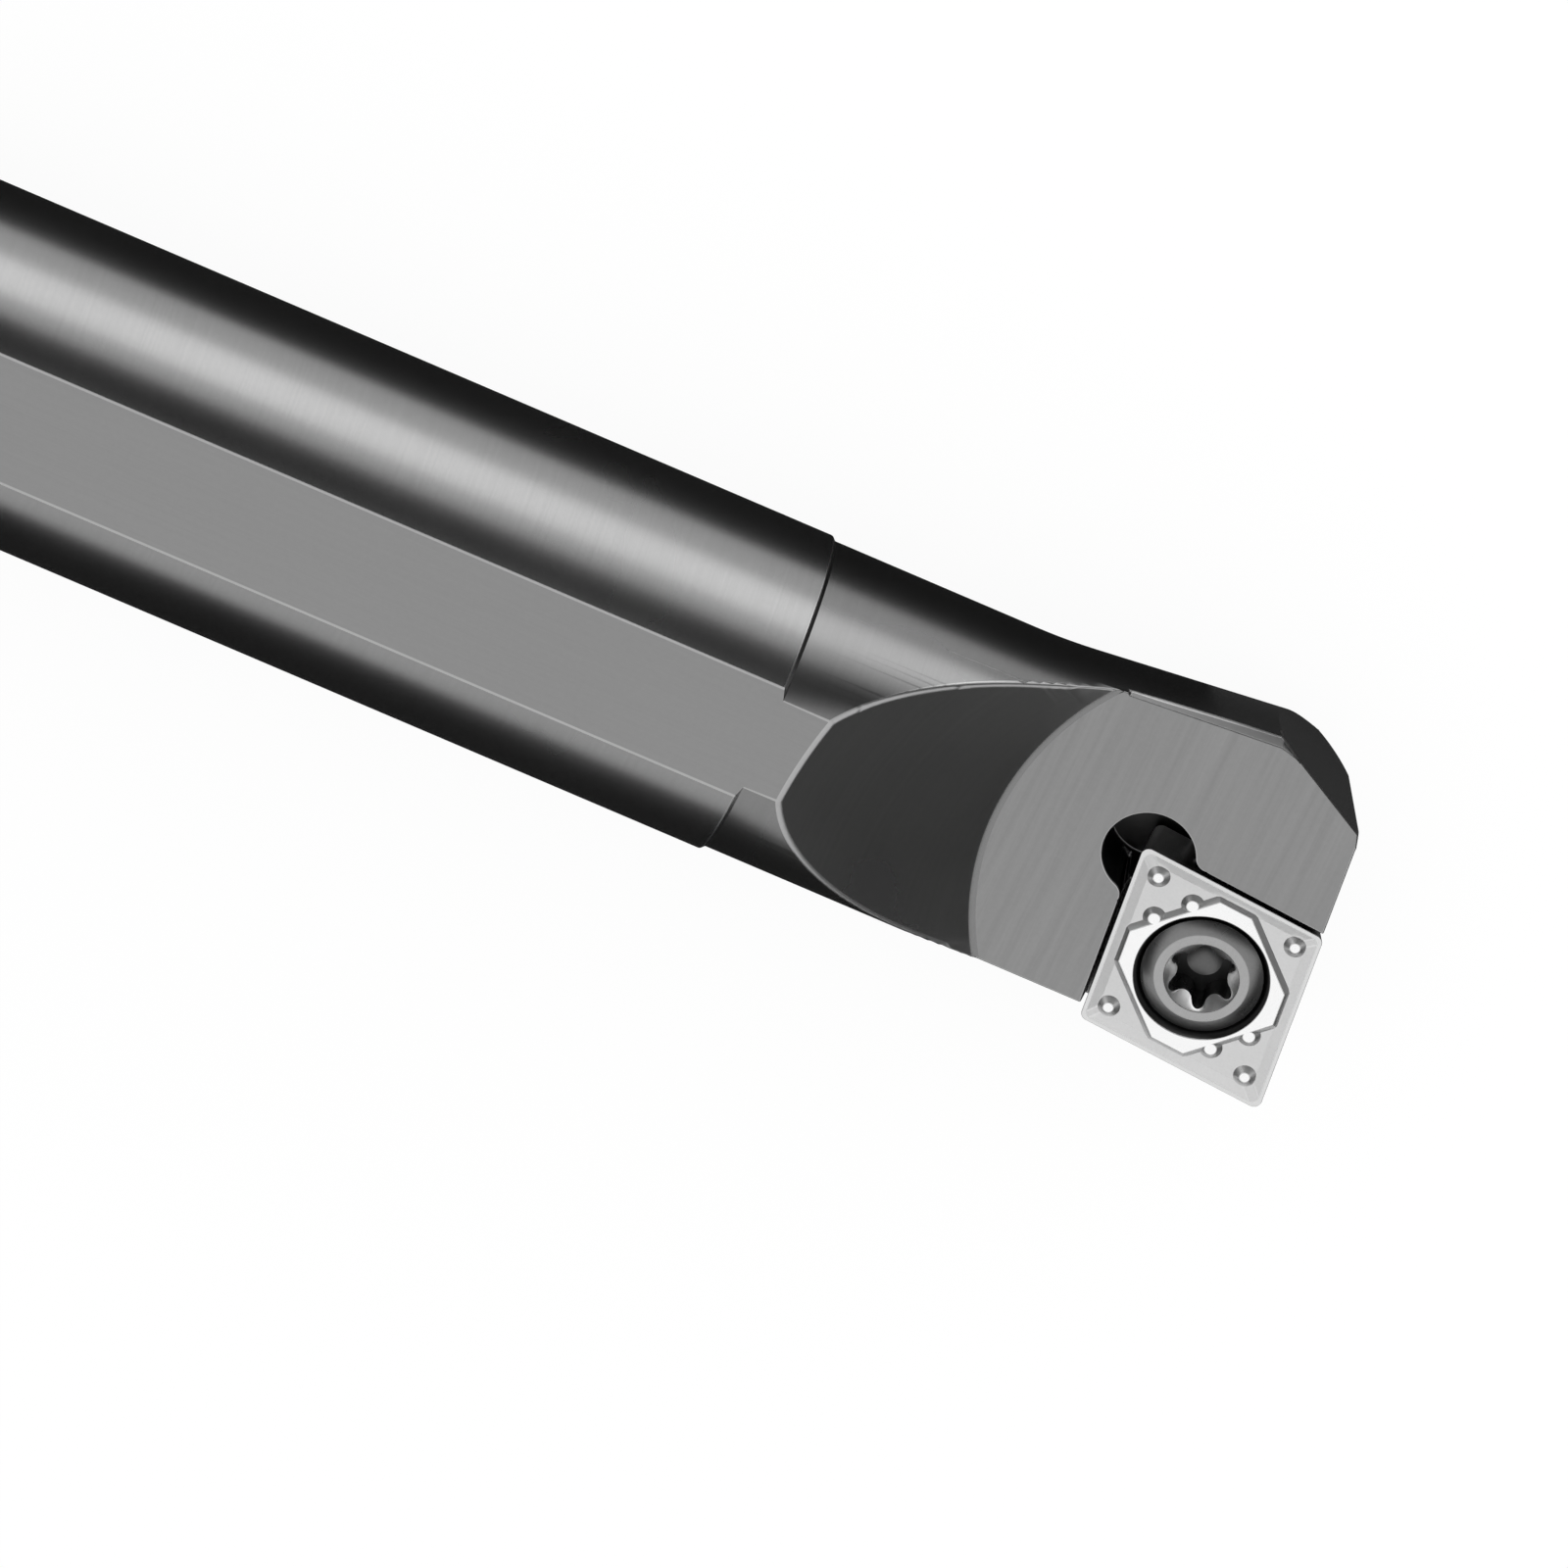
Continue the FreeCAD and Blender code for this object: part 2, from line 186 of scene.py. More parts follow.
bar = {
    "shankRadius": 8.0,
    "neckRadius": 7.8,
    "headLength": 29.6,                    # neck step to the nose
    "flareLength": 17.5,
    "flareAngle": 5.8,
    "flareBlend": 30.0,
    "rearChamfer": 1.0,
    "edgeBreak": 0.12,                     # width of the broken edges
    "rimBreak": 0.32,                      # and along the gullet's rim
    "rimLow": 0.8,                         # above the chip face
    "bandBreak": 0.2,
    "bandBreakStart": 13.4,                # back from the nose
    "stepBreak": 0.08,
    "sharpAngle": 14,
    "breakSegments": 3,
    "faceTilt": 8.0,
    "gulletAngle": 32.2,
    "gulletRadius": 11.7,
    "gulletBack": 4.1,
    "gulletSide": 3.6,
    "gulletBlend": 0.2,
    "gulletSteps": 288,
    "cornerRadius": 4.9,
    "cornerBack": 6.1,
    "cornerAxis": 3.0,
    "bandAngle": 55.0,
    "bandDrop": 2.2,
    "bandStart": (14.2, 7.7),              # back from the nose, out from the axis
    "bandEnd": (6.65, 8.32),
    "bandRadius": 8.5,
    "bandArcEnd": 66.0,
    "cutAngle": 30.4,                      # flat cut across the front corner
    "cutBack": 5.2,
    "cutSide": 7.85,
    "cutRelief": 7.3,
    "bandZone": (15, 5),                   # the band lies nearer the nose, and further out from the axis
    "frontZone": 9,
    "frontSetback": 0.1,
    "frontRelief": 8.0,
    "wallGap": 0.2,                        # pocket wall to the insert above the bearing height
    "seatGap": 0.01,
    "bearingHeight": 2.3,
    "reliefRadius": 2.2,
    "reliefInset": 0.58,
    "reliefDepth": 0.5,
    "reliefBlend": 0.8,
}

plate = {
    "inscribed": 9.525 / 2,
    "thickness": 3.97,
    "corner": 80.0,
    "lead": 5.0,                           # both cutting edges lean back by this
    "flank": 7.0,
    "noseRadius": 0.4,
    "bore": 2.2,
    "mouth": 3.25,
    "sinkAngle": 30.0,
    "land": 0.2,
    "slopeRun": 0.5,
    "slopeDepth": 0.2,
    "islandEdgeGap": 0.81,
    "islandLong": 3.42,
    "islandShort": 3.38,
    "islandDraft": 0.27,
    "domeFoot": 0.56,
    "domeTop": 0.25,
    "domeLong": 1.84,                      # corner to dome, at the 80 degree corners
    "domeShort": 1.47,
    "lobeTop": 0.29,                       # two small lobes on each far side of the island
    "lobeOffset": 0.22,
    "lobePitch": 1.95,
    "edgeBreak": 0.05,
    "sharpAngle": 14,
    "breakSegments": 4,
}

halfCorner = plate["corner"] / 2
noseHeading = plate["lead"] + halfCorner - 90
longReach = plate["inscribed"] / degSin(halfCorner)
shortReach = plate["inscribed"] / degCos(halfCorner)
noseCentre = heading(noseHeading, longReach - plate["noseRadius"] / degSin(halfCorner))
tilt = Matrix.Rotation(math.radians(bar["faceTilt"]), 4, "X")
faceFrame = Matrix.Translation((0, 0, -noseY * degTan(bar["faceTilt"]))) @ tilt
seatFrame = faceFrame @ Matrix.Translation((
    noseX - plate["noseRadius"] - noseCentre.x,
    noseY / degCos(bar["faceTilt"]) + plate["noseRadius"] - noseCentre.y,
    0,
))
far = 40.0                                 # reach of the cutting tools
over = 0.2                                 # how far a tool stands past the surface that it cuts


def barBlank():
    step = bar["shankRadius"] - bar["neckRadius"]
    neckStart = noseX - bar["headLength"]
    flareStart = noseX - bar["flareLength"]
    flareEnd = bar["neckRadius"] + bar["flareLength"] * degTan(bar["flareAngle"])
    blend = bar["flareBlend"]
    centre = Vector((flareStart - blend * degTan(bar["flareAngle"] / 2), bar["neckRadius"] + blend, 0))
    return turned("barBody", [
        (0, 0, 0),
        (0, bar["shankRadius"] - bar["rearChamfer"], 0),
        (bar["rearChamfer"], bar["shankRadius"], 0),
        (neckStart, bar["shankRadius"], 0),
        (neckStart + step, bar["neckRadius"], 0),
        *arcPoints(centre, blend, -90, bar["flareAngle"] - 90, 5),
        (noseX, flareEnd, 0),
        (noseX, 0, 0),
    ], steps=360)


def millFlats(piece):
    edit(piece)
    for side in (1, -1):
        bpy.ops.mesh.select_all(action="SELECT")
        bpy.ops.mesh.bisect(
            plane_co=(0, 0, side * flatLevel), plane_no=(0, 0, side),
            use_fill=True, clear_outer=True, threshold=1e-5,
        )
    leaveEdit()


def cornerRing():
    centreX = noseX - bar["cornerBack"]
    flareHere = bar["neckRadius"] + (centreX - noseX + bar["flareLength"]) * degTan(bar["flareAngle"])
    ringRadius = flareHere - bar["cornerRadius"] / degCos(bar["flareAngle"])
    centre = Vector((centreX, ringRadius, 0))
    arc = arcPoints(centre, bar["cornerRadius"], 90 + bar["flareAngle"], 0, 32)
    outer = [(noseX + 1, ringRadius, 0), (noseX + 1, far, 0), (arc[0].x, far, 0), arc[0]]
    return turned("ring", arc + outer, centre=(0, -bar["cornerAxis"], 0), steps=256)


def gulletCone():
    grow = 1 / degTan(bar["gulletAngle"])
    low, high = -over, flatLevel + over
    clearSelection()
    bpy.ops.mesh.primitive_cone_add(
        vertices=bar["gulletSteps"],
        radius1=bar["gulletRadius"] + low * grow,
        radius2=bar["gulletRadius"] + high * grow,
        depth=high - low,
        location=(noseX - bar["gulletBack"], -bar["gulletSide"], (low + high) / 2),
    )
    cone = place(bpy.context.object, Matrix.Identity(4))
    edit(cone)
    bpy.ops.mesh.select_all(action="SELECT")
    bpy.ops.mesh.bisect(
        plane_co=faceFrame.translation, plane_no=faceFrame.to_3x3() @ Vector((0, 0, 1)),
        use_fill=True, clear_inner=True, threshold=1e-5,
    )
    selectWhere(cone, "EDGE", lambda e: all(abs(faceHeight(v.co)) < 1e-3 for v in e.verts))
    bpy.ops.mesh.bevel(offset=bar["gulletBlend"], segments=8, affect="EDGES")   # the rounded foot
    leaveEdit()
    return cone


def faceHeight(point):
    return (faceFrame.inverted() @ point).z


def edgeBand():
    run = bar["bandDrop"] / degTan(bar["bandAngle"])
    start = Vector((noseX - bar["bandStart"][0], bar["bandStart"][1], 0))
    end = Vector((noseX - bar["bandEnd"][0], bar["bandEnd"][1], 0))
    lean = math.degrees(math.atan2(end.y - start.y, end.x - start.x))
    centre = Vector((end.x - math.sqrt(bar["bandRadius"] ** 2 - end.y ** 2), 0, 0))

    def section(offset, level):
        radius = bar["bandRadius"] + offset
        rear = start + heading(lean + 90, offset)
        foot = rear - centre
        dot = foot.dot(heading(lean))
        corner = rear + heading(lean, -dot + math.sqrt(dot ** 2 - foot.dot(foot) + radius ** 2))
        turn = math.degrees(math.atan2(corner.y, corner.x - centre.x))
        points = arcPoints(centre, radius, turn, bar["bandArcEnd"], 12)
        points.append(points[-1] + heading(bar["bandArcEnd"] - 90, far))
        points += [Vector((noseX + far, far, 0)), Vector((rear.x, far, 0)), rear]
        return [point + Vector((0, 0, level)) for point in points]

    low = section(run, -bar["bandDrop"])
    high = section(-over / degTan(bar["bandAngle"]), over)
    return place(prism("band", low, high), faceFrame)


def frontCut():
    block = slab("front", (0, -far, -far), (far, far, far))
    move = Matrix.Rotation(math.radians(plate["lead"]), 4, "Z")
    move = move @ Matrix.Translation((plate["inscribed"] - bar["frontSetback"], 0, 0))
    move = move @ Matrix.Rotation(math.radians(bar["frontRelief"]), 4, "Y")
    return place(block, seatFrame @ move)


def cornerCut():
    block = slab("corner", (0, -far, -far), (far, far, far))
    move = Matrix.Translation((noseX - bar["cutBack"], bar["cutSide"], 0))
    move = move @ Matrix.Rotation(math.radians(90 - bar["cutAngle"]), 4, "Z")
    move = move @ Matrix.Rotation(math.radians(bar["cutRelief"]), 4, "Y")
    return place(block, faceFrame @ move)


def cornerHalf(index):
    return halfCorner if index % 2 == 0 else 90 - halfCorner


def plateCorner(inscribed, index):
    reach = inscribed / (degSin(halfCorner) if index % 2 == 0 else degCos(halfCorner))
    return heading(noseHeading + 90 * index, reach)


def pocketWire(gap, level):
    inscribed = plate["inscribed"] + gap + level * degTan(plate["flank"])
    corner = plateCorner(inscribed, 2)
    front = heading(-plate["lead"], far)
    side = heading(plate["lead"] - 90, far)
    wire = (corner, corner + side, corner + side + front, corner + front)
    return [point + Vector((0, 0, level)) for point in wire]


def pocketTools():
    floor = -plate["thickness"]
    bearing = floor + bar["bearingHeight"]
    top = flatLevel * 2
    seatGap = bar["seatGap"]
    lower = prism("seat", pocketWire(seatGap, floor), pocketWire(seatGap, bearing + bar["wallGap"]))
    upper = prism("walls", pocketWire(bar["wallGap"], bearing), pocketWire(bar["wallGap"], top))
    inner = plateCorner(plate["inscribed"], 2)
    centre = inner - heading(noseHeading + 180, bar["reliefInset"])
    clearSelection()
    depth = far
    bpy.ops.mesh.primitive_cylinder_add(
        vertices=128, radius=bar["reliefRadius"], depth=depth,
        location=centre + Vector((0, 0, floor - bar["reliefDepth"] + depth / 2)),
    )
    relief = place(bpy.context.object, Matrix.Identity(4))
    tools = [lower, upper, relief]
    for wallAngle, side in ((-plate["lead"], 1), (plate["lead"] - 90, -1)):
        tools.append(cornerBlend(centre, wallAngle, side, bar["reliefBlend"]))
    return [place(tool, seatFrame) for tool in tools]


def cornerBlend(centre, wallAngle, side, radius):
    wall = plateCorner(plate["inscribed"] + bar["wallGap"], 2)
    along = heading(wallAngle)
    inward = heading(wallAngle + 90 * side)
    rise = (wall - centre).dot(inward) + radius
    hole = bar["reliefRadius"]
    reach = math.sqrt((hole + radius) ** 2 - rise ** 2)
    blendCentre = centre + along * reach + inward * rise
    onWall = blendCentre - inward * radius
    onHole = centre + (blendCentre - centre) * (hole / (hole + radius))
    fromAngle = angleOf(onWall - blendCentre)
    turn = (angleOf(onHole - blendCentre) - fromAngle + 180) % 360 - 180
    outline = arcPoints(blendCentre, radius, fromAngle, fromAngle + turn, 12) + [centre]
    floor = Vector((0, 0, -plate["thickness"]))
    top = Vector((0, 0, flatLevel * 2))
    return prism("blend", [point + floor for point in outline], [point + top for point in outline])


def buildBody():
    body = barBlank()
    millFlats(body)
    start = noseX - bar["headLength"] + 1
    combine(body, slab("side", (start, -far, -far), (noseX + 1, -bar["shankRadius"], far)))
    for makeTool in (cornerRing, gulletCone, edgeBand, frontCut, cornerCut):
        combine(body, makeTool())
    for tool in pocketTools():
        combine(body, tool)
    return body


def inGullet(face):
    middle = face.calc_center_median()
    outward = Vector((middle.x - noseX + bar["gulletBack"], middle.y + bar["gulletSide"], 0)).normalized()
    wall = Vector((0, 0, degCos(bar["gulletAngle"]))) - outward * degSin(bar["gulletAngle"])
    return face.material_index == turnedSlot and face.normal.dot(wall) > 0.99 and faceHeight(middle) > -near


screw = {
    "head": 2.93,
    "rim": 2.25,                           # flat rim round the socket
    "proud": 0.05,
    "bevelDepth": 0.32,
    "seatGap": 0.02,
    "neckGap": 0.05,
    "neckLength": 0.5,
    "shaft": 2.0,
    "length": 7.9,
    "point": 0.6,
    "pitch": 0.5,
    "threadDepth": 0.27,
    "threadFlat": 0.08,
    "threadGap": 0.03,                     # tapped hole round the thread
    "holeMargin": 0.5,
    "holeChamfer": 0.3,
    "socketTip": 1.675,
    "socketWaist": 1.2,
    "socketLobe": 0.29,
    "socketTurn": 46.0,
    "socketDepth": 2.1,
    "drill": 0.85,                         # drilled point in the socket's floor
    "drillAngle": 30.0,
    "leadIn": 0.14,
    "edgeBreak": 0.05,
    "sharpAngle": 20,
    "breakSegments": 2,
}


def threadRod(grow):
    crest = screw["shaft"] + grow
    root = crest - screw["threadDepth"]
    pitch = screw["pitch"]
    flank = (pitch - 2 * screw["threadFlat"]) / 2
    levels = [(root, 0), (root, screw["threadFlat"]), (crest, screw["threadFlat"] + flank),
              (crest, 2 * screw["threadFlat"] + flank), (root, pitch)]
    turns = math.ceil(screw["length"] / pitch) + 2
    start = screw["proud"] - screw["length"] - 3 * pitch
    rod = startOutline("thread", [Vector((radius, 0, start + level)) for radius, level in levels])
    leaveEdit()
    wind = rod.modifiers.new("wind", "SCREW")
    wind.screw_offset = pitch
    wind.iterations = turns
    wind.steps = 48
    wind.render_steps = 48
    bpy.ops.object.modifier_apply(modifier=wind.name)
    edit(rod)
    bpy.ops.mesh.select_all(action="SELECT")
    bpy.ops.mesh.remove_doubles(threshold=1e-3)
    middle = start + turns * pitch / 2
    for side in (-1, 1):
        onEnd = lambda e: e.is_boundary and all((v.co.z - middle) * side > 0 for v in e.verts)
        selectWhere(rod, "EDGE", onEnd)
        bpy.ops.mesh.extrude_region_move()
        bpy.ops.mesh.merge(type="CENTER")
    bpy.ops.mesh.select_all(action="SELECT")
    bpy.ops.mesh.normals_make_consistent(inside=False)
    leaveEdit()
    return rod


def tappedHole():
    out = seatFrame.to_3x3() @ Vector((0, 0, 1))
    exitLevel = (-flatLevel - seatFrame.translation.z) / out.z
    wide = screw["shaft"] + screw["holeChamfer"]
    chamfer = turned("holeChamfer", [
        (0, 0, exitLevel - 1),
        (wide + 1, 0, exitLevel - 1),
        (screw["shaft"] - 1, 0, exitLevel + screw["holeChamfer"] + 1),
        (0, 0, exitLevel + screw["holeChamfer"] + 1),
    ], axis=(0, 0, 1), steps=96)
    return [place(tool, seatFrame) for tool in (threadRod(screw["threadGap"]), chamfer)]


def joinDoubles(piece):
    edit(piece)
    bpy.ops.mesh.select_all(action="SELECT")
    bpy.ops.mesh.remove_doubles(threshold=2e-3)
    bpy.ops.mesh.dissolve_degenerate(threshold=1e-3)
    bpy.ops.mesh.normals_make_consistent(inside=False)
    leaveEdit()


def isSharp(edge, angle):
    return len(edge.link_faces) == 2 and edge.calc_face_angle(0) > math.radians(angle)


def breakEdges(piece, angle, segments, widths):
    widest = max(width for width, where in widths)
    edit(piece)
    for width, where in widths:
        count = selectWhere(piece, "EDGE", lambda e: isSharp(e, angle) and where(e))
        bpy.ops.transform.edge_bevelweight(value=width / widest)
        print("  edges broken %.2f mm: %d" % (width, count))
    leaveEdit()
    wear = piece.modifiers.new("brokenEdges", "BEVEL")
    wear.limit_method = "WEIGHT"
    wear.offset_type = "WIDTH"
    wear.width = widest
    wear.segments = segments
    wear.use_clamp_overlap = False
    wear.loop_slide = False
    wear.material = edgeSlot
    bpy.ops.object.modifier_apply(modifier=wear.name)


def paint(piece, index, test):
    edit(piece)
    selectWhere(piece, "FACE", test)
    piece.active_material_index = index
    bpy.ops.object.material_slot_assign()
    leaveEdit()


def addSlots(piece, names):
    piece.data.materials.clear()
    for name in names:
        piece.data.materials.append(metals[name])


def finishPiece(piece, node, smooth=38):
    place(piece, Matrix.Scale(1 / mm, 4))
    bpy.ops.object.shade_smooth_by_angle(angle=math.radians(smooth))
    soft = piece.modifiers.new("flatNormals", "WEIGHTED_NORMAL")
    soft.keep_sharp = True
    bpy.ops.object.modifier_apply(modifier=soft.name)
    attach(piece, "root")
    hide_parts(node)
    shape = piece.data
    print("  %s: %d points, %d faces" % (piece.name, len(shape.vertices), len(shape.polygons)))


# Finishes

def newNode(tree, kind, **values):
    node = tree.nodes.new(kind)
    for name, value in values.items():
        setattr(node, name, value)
    return node


def setInputs(node, values):
    for name, value in values.items():
        node.inputs[name].default_value = value


def newGroup(name, inputs, outputs):
    group = bpy.data.node_groups.new(name, "ShaderNodeTree")
    group.interface.new_socket("Place", in_out="INPUT", socket_type="NodeSocketVector")
    for label, start in inputs:
        socket = group.interface.new_socket(label, in_out="INPUT", socket_type="NodeSocketFloat")
        socket.default_value = start
    for label in outputs:
        group.interface.new_socket(label, in_out="OUTPUT", socket_type="NodeSocketFloat")
    return group, group.nodes.new("NodeGroupInput"), group.nodes.new("NodeGroupOutput")


def linesGroup():
    group, given, result = newGroup(
        "toolLines", [("AlongX", 1.0), ("AlongY", 1.0), ("AlongZ", 1.0), ("Round", 0.0), ("Detail", 4.0)],
        ["Lines"],
    )
    link = group.links.new
    parts = newNode(group, "ShaderNodeSeparateXYZ")
    link(given.outputs["Place"], parts.inputs["Vector"])
    level = newNode(group, "ShaderNodeCombineXYZ")
    link(parts.outputs["X"], level.inputs["X"])
    link(parts.outputs["Y"], level.inputs["Y"])
    reach = newNode(group, "ShaderNodeVectorMath", operation="LENGTH")
    link(level.outputs["Vector"], reach.inputs[0])
    rings = newNode(group, "ShaderNodeMath", operation="MULTIPLY")
    link(reach.outputs["Value"], rings.inputs[0])
    link(given.outputs["Round"], rings.inputs[1])
    spread = newNode(group, "ShaderNodeCombineXYZ")
    for axis in "XYZ":
        times = newNode(group, "ShaderNodeMath", operation="MULTIPLY")
        link(parts.outputs[axis], times.inputs[0])
        link(given.outputs["Along" + axis], times.inputs[1])
        if axis == "X":
            total = newNode(group, "ShaderNodeMath", operation="ADD")
            link(times.outputs["Value"], total.inputs[0])
            link(rings.outputs["Value"], total.inputs[1])
            times = total
        link(times.outputs["Value"], spread.inputs[axis])
    fine = newNode(group, "ShaderNodeTexNoise")
    setInputs(fine, {"Scale": 1.0, "Roughness": 0.65})
    link(spread.outputs["Vector"], fine.inputs["Vector"])
    link(given.outputs["Detail"], fine.inputs["Detail"])
    link(fine.outputs["Fac"], result.inputs["Lines"])
    return group


def grainGroup():
    group, given, result = newGroup("grain", [("Scale", 3000.0), ("Cloud", 90.0)], ["Grain", "Smudge"])
    link = group.links.new
    fine = newNode(group, "ShaderNodeTexNoise")
    setInputs(fine, {"Detail": 3.0})
    cloud = newNode(group, "ShaderNodeTexNoise")
    setInputs(cloud, {"Detail": 4.0, "Distortion": 0.6})
    link(given.outputs["Place"], fine.inputs["Vector"])
    link(given.outputs["Place"], cloud.inputs["Vector"])
    link(given.outputs["Scale"], fine.inputs["Scale"])
    link(given.outputs["Cloud"], cloud.inputs["Scale"])
    link(fine.outputs["Fac"], result.inputs["Grain"])
    link(cloud.outputs["Fac"], result.inputs["Smudge"])
    return group


linesTree = linesGroup()
grainTree = grainGroup()


def stretched(tree, value, low, high):
    ramp = newNode(tree, "ShaderNodeMapRange")
    setInputs(ramp, {"From Min": 0.25, "From Max": 0.75, "To Min": low, "To Max": high})
    tree.links.new(value, ramp.inputs["Value"])
    return ramp.outputs["Result"]


def metalFinish(name, look):
    material = bpy.data.materials.new(name)
    material.use_nodes = True
    tree = material.node_tree
    link = tree.links.new
    shader = tree.nodes["Principled BSDF"]
    setInputs(shader, {"Metallic": 1.0})
    spot = newNode(tree, "ShaderNodeTexCoord")
    centred = newNode(tree, "ShaderNodeMapping", vector_type="TEXTURE")
    setInputs(centred, {"Location": look.get("centre", (0, 0, 0)), "Rotation": look.get("turn", (0, 0, 0))})
    link(spot.outputs["Object"], centred.inputs["Vector"])
    lines = newNode(tree, "ShaderNodeGroup", node_tree=linesTree)
    setInputs(lines, dict(zip(("AlongX", "AlongY", "AlongZ", "Round"), look["lines"])))
    grain = newNode(tree, "ShaderNodeGroup", node_tree=grainTree)
    setInputs(grain, {"Scale": look["grain"], "Cloud": look["cloud"]})
    link(centred.outputs["Vector"], lines.inputs["Place"])
    link(centred.outputs["Vector"], grain.inputs["Place"])
    mixed = newNode(tree, "ShaderNodeMix", data_type="FLOAT")
    setInputs(mixed, {"Factor": look["grainShare"]})
    link(lines.outputs["Lines"], mixed.inputs["A"])
    link(grain.outputs["Grain"], mixed.inputs["B"])
    tone = newNode(tree, "ShaderNodeMix", data_type="RGBA")
    for socket, share in (("A", 1 - look["spread"]), ("B", 1 + look["spread"])):
        tone.inputs[socket].default_value = [part * share for part in look["colour"]] + [1]
    link(stretched(tree, mixed.outputs["Result"], 0, 1), tone.inputs["Factor"])
    link(tone.outputs["Result"], shader.inputs["Base Color"])
    smoothest, roughest = look["roughness"] - look["smudge"], look["roughness"] + look["smudge"]
    link(stretched(tree, grain.outputs["Smudge"], smoothest, roughest), shader.inputs["Roughness"])
    bump = newNode(tree, "ShaderNodeBump")
    setInputs(bump, {"Strength": look["bump"], "Distance": look["depth"]})
    link(mixed.outputs["Result"], bump.inputs["Height"])
    link(bump.outputs["Normal"], shader.inputs["Normal"])
    return material


def grey(level):
    return (level, level, level)


# lines: how often the pattern changes per metre along X, Y, Z and the radius
fineLines = (1800, 1800, 1800, 0)
evenLines = (900, 900, 900, 0)
ringLines = (60, 60, 60, 7000)
gulletAxis = (0.1759, -0.0036, 0)          # in metres
steel = {
    "spread": 0.05, "smudge": 0.02, "grain": 4000, "cloud": 80, "grainShare": 0.3, "bump": 0.08, "depth": 2e-5,
}
turnedSteel = {**steel, "cloud": 60, "bump": 0.1}
carbide = {
    "smudge": 0.02, "lines": fineLines, "grain": 9000, "cloud": 150, "grainShare": 0.6,
    "bump": 0.04, "depth": 1e-5,
}
sintered = {**carbide, "smudge": 0.03, "bump": 0.1}
darkSteel = {
    "spread": 0.1, "smudge": 0.03, "lines": evenLines, "grain": 7000, "cloud": 200, "grainShare": 0.5,
    "bump": 0.05, "depth": 1e-5,
}
ringedSteel = {**darkSteel, "spread": 0.05, "lines": ringLines, "grainShare": 0.4, "bump": 0.04}
finishes = {
    "steelTurned": {**turnedSteel, "colour": grey(0.27), "roughness": 0.26, "lines": (9000, 60, 60, 0)},
    # the head, from the neck step to the nose, painted darker than the shank: painted shade where the light
    # falls off towards the nose
    "steelNeckShade": {**turnedSteel, "colour": grey(0.22), "roughness": 0.27, "lines": (7000, 60, 60, 0)},
    "steelFaced": {
        **turnedSteel, "colour": grey(0.27), "roughness": 0.27, "lines": (60, 60, 60, 9000),
        "turn": (0, math.pi / 2, 0), "spread": 0.06, "grainShare": 0.2, "bump": 0.15,
    },
    "steelMilled": {
        **turnedSteel, "colour": grey(0.27), "roughness": 0.32, "lines": (60, 9000, 60, 0),
        "spread": 0.04, "grainShare": 0.4, "bump": 0.08,
    },
    "steelFace": {
        **steel, "colour": grey(0.27), "roughness": 0.33, "lines": (2200, 60, 60, 0),
        "spread": 0.11, "grainShare": 0.2, "bump": 0.1,
    },
    "steelGullet": {
        **steel, "colour": grey(0.26), "roughness": 0.28, "lines": (30, 30, 30, 5000), "centre": gulletAxis,
    },
    # pocket walls, relief hole and tapped hole painted near black: painted shade in the recesses
    "steelPocketShade": {
        **steel, "colour": grey(0.07), "roughness": 0.34, "lines": (60, 60, 5000, 0),
        "spread": 0.08, "smudge": 0.03,
    },
    # the chamfer band at the front corner painted darker than the face: painted shade
    "steelBandShade": {**steel, "colour": grey(0.15), "roughness": 0.3, "lines": (60, 60, 4000, 0)},
    # broken edges painted lighter than the steel: partly edge wear, partly painted highlight
    "steelEdgeWearAndHighlight": {
        **steel, "colour": grey(0.42), "roughness": 0.3, "lines": (500, 500, 500, 0), "smudge": 0.03,
        "grain": 5000, "cloud": 100, "grainShare": 0.5, "bump": 0.05, "depth": 1e-5,
    },
    "carbide": {**sintered, "colour": grey(0.63), "spread": 0.05, "roughness": 0.33},
    "carbideSlope": {**sintered, "colour": grey(0.75), "spread": 0.04, "roughness": 0.33},
    "carbideGround": {
        **sintered, "colour": grey(0.6), "spread": 0.06, "roughness": 0.3,
        "lines": (300, 300, 12000, 0), "grainShare": 0.3,
    },
    # the insert's bore and countersink painted near black: painted shade in the hole
    "carbideBoreShade": {
        **sintered, "colour": grey(0.06), "spread": 0.08, "roughness": 0.32,
        "lines": (300, 300, 6000, 0), "grainShare": 0.4, "bump": 0.06,
    },
    "carbideEdge": {**carbide, "colour": grey(0.62), "spread": 0.03, "roughness": 0.26},
    "carbideLand": {**carbide, "colour": grey(0.93), "spread": 0.02, "roughness": 0.26},
    "carbideRim": {**carbide, "colour": grey(0.7), "spread": 0.03, "roughness": 0.3},
    "screwRim": {**ringedSteel, "colour": grey(0.38), "roughness": 0.26},
    # the socket's lead-in chamfer painted near white: painted highlight
    "screwLeadHighlight": {**ringedSteel, "colour": grey(0.8), "roughness": 0.3},
    # the drilled point at the socket's bottom painted darker than the screw: painted shade
    "screwDrillShade": {**darkSteel, "colour": grey(0.14), "roughness": 0.36},
    # the socket's flat floor painted near black: painted shade
    "screwSocketShade": {**darkSteel, "colour": grey(0.03), "roughness": 0.36},
    "screwSteel": {**darkSteel, "colour": grey(0.22), "roughness": 0.28, "spread": 0.08, "bump": 0.08},
    "screwEdge": {
        **darkSteel, "colour": grey(0.35), "roughness": 0.24, "spread": 0.05, "smudge": 0.02, "bump": 0.04,
    },
}
metals = {name: metalFinish(name, look) for name, look in finishes.items()}
print("finishes ready:", len(metals))


# Body, finished

